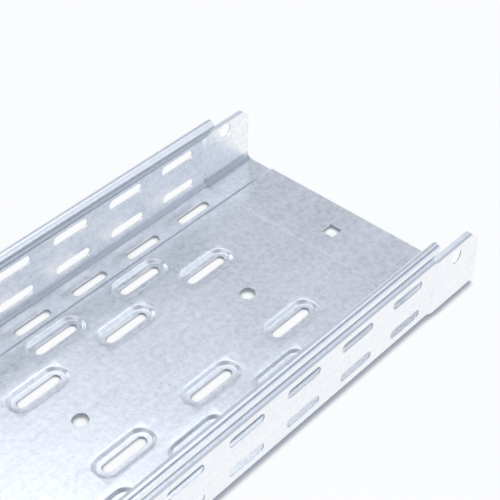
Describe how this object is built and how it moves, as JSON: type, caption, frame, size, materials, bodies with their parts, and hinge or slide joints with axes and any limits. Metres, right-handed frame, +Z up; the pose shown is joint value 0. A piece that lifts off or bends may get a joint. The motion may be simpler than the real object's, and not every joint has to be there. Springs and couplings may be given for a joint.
{
  "type": "perforated cable tray",
  "caption": "Perforated galvanised steel cable tray length with rolled rims, slotted walls and base, and a widened socket end.",
  "frame": {"origin": "centre of the bounding box's base, on the floor under the middle of the tray", "axes": "+X along the tray towards the socket end, +Y across, +Z up out of the open side"},
  "size_m": [2, 0.202, 0.06],
  "materials": {
    "galvanised_sheet": "galvanised"
  },
  "bodies": {
    "root": {"cable_tray": "galvanised_sheet"}
  },
  "joints": []
}
